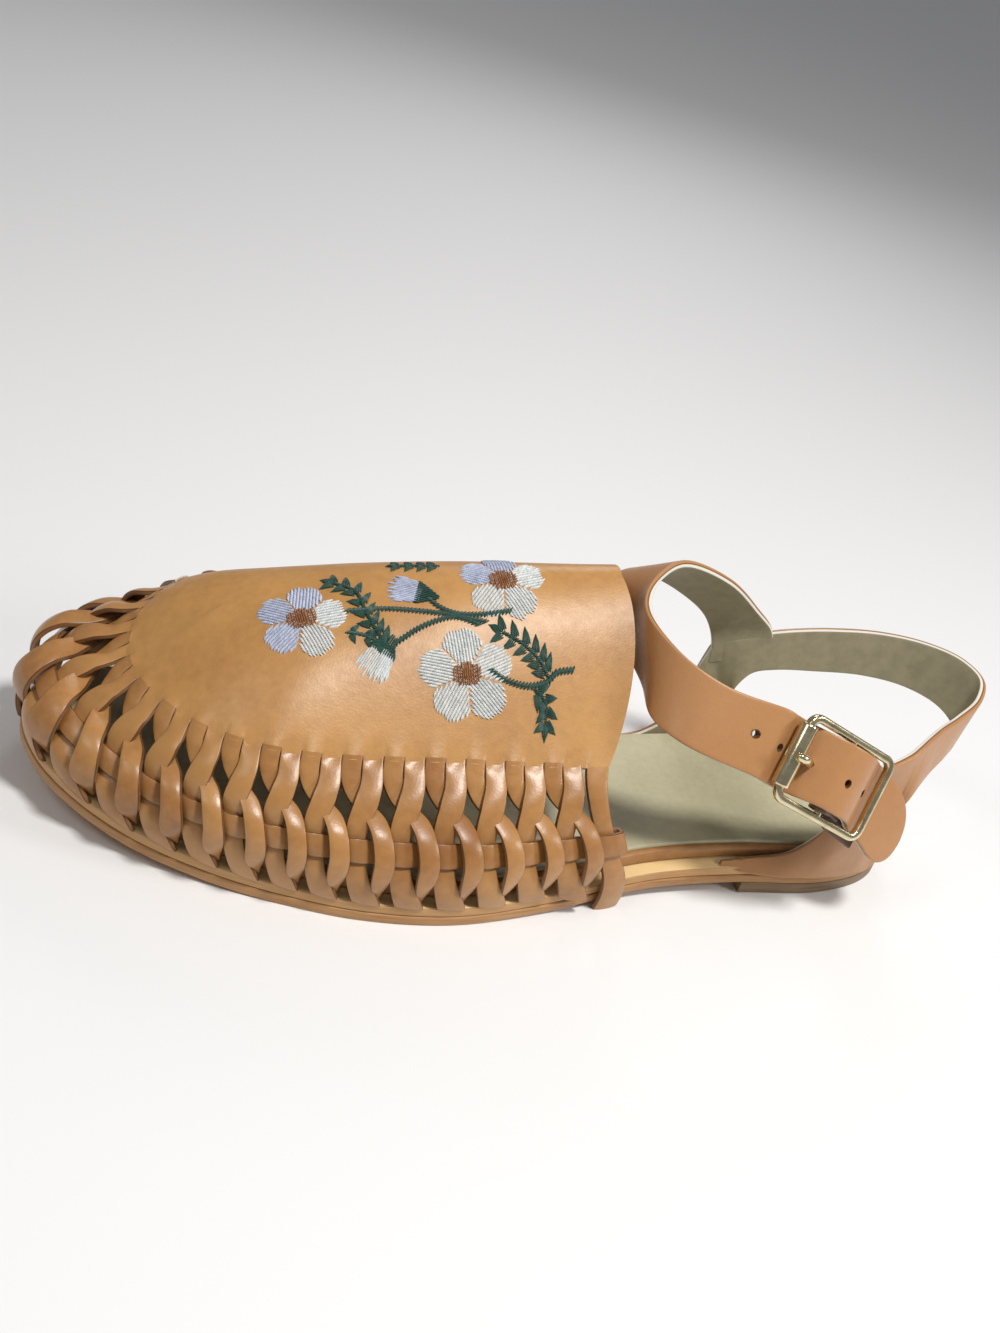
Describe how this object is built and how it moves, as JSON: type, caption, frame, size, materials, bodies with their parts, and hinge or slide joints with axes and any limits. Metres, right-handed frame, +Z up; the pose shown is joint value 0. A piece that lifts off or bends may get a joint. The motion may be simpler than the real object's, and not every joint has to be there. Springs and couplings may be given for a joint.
{
  "type": "huarache sandal",
  "caption": "Left huarache sandal: closed toe woven from strips of its own plug, layered low sole, open heel with a loop, and an instep strap with a roller buckle.",
  "frame": {"origin": "on the floor, under the middle of the shoe's bounding box", "axes": "+X towards the heel, +Y to the inner side of the foot, +Z up"},
  "size_m": [0.2808, 0.0992, 0.0824],
  "materials": {
    "heel_stack": "stacked leather, waxed edge",
    "sole_leather": "smooth, dyed edge",
    "pale_midsole": "undyed, matt edge",
    "tan_leather": "smooth, satin",
    "sock_leather": "smooth, matt",
    "pale_brass": "polished"
  },
  "bodies": {
    "root": {"heel_lift": "heel_stack", "outsole": "sole_leather", "midsole": "pale_midsole", "footbed": "tan_leather", "insole": "sock_leather", "woven_vamp": "tan_leather", "sling_upper": "tan_leather", "buckle_frame": "pale_brass", "buckle_roller": "pale_brass", "buckle_prong": "pale_brass"}
  },
  "joints": []
}
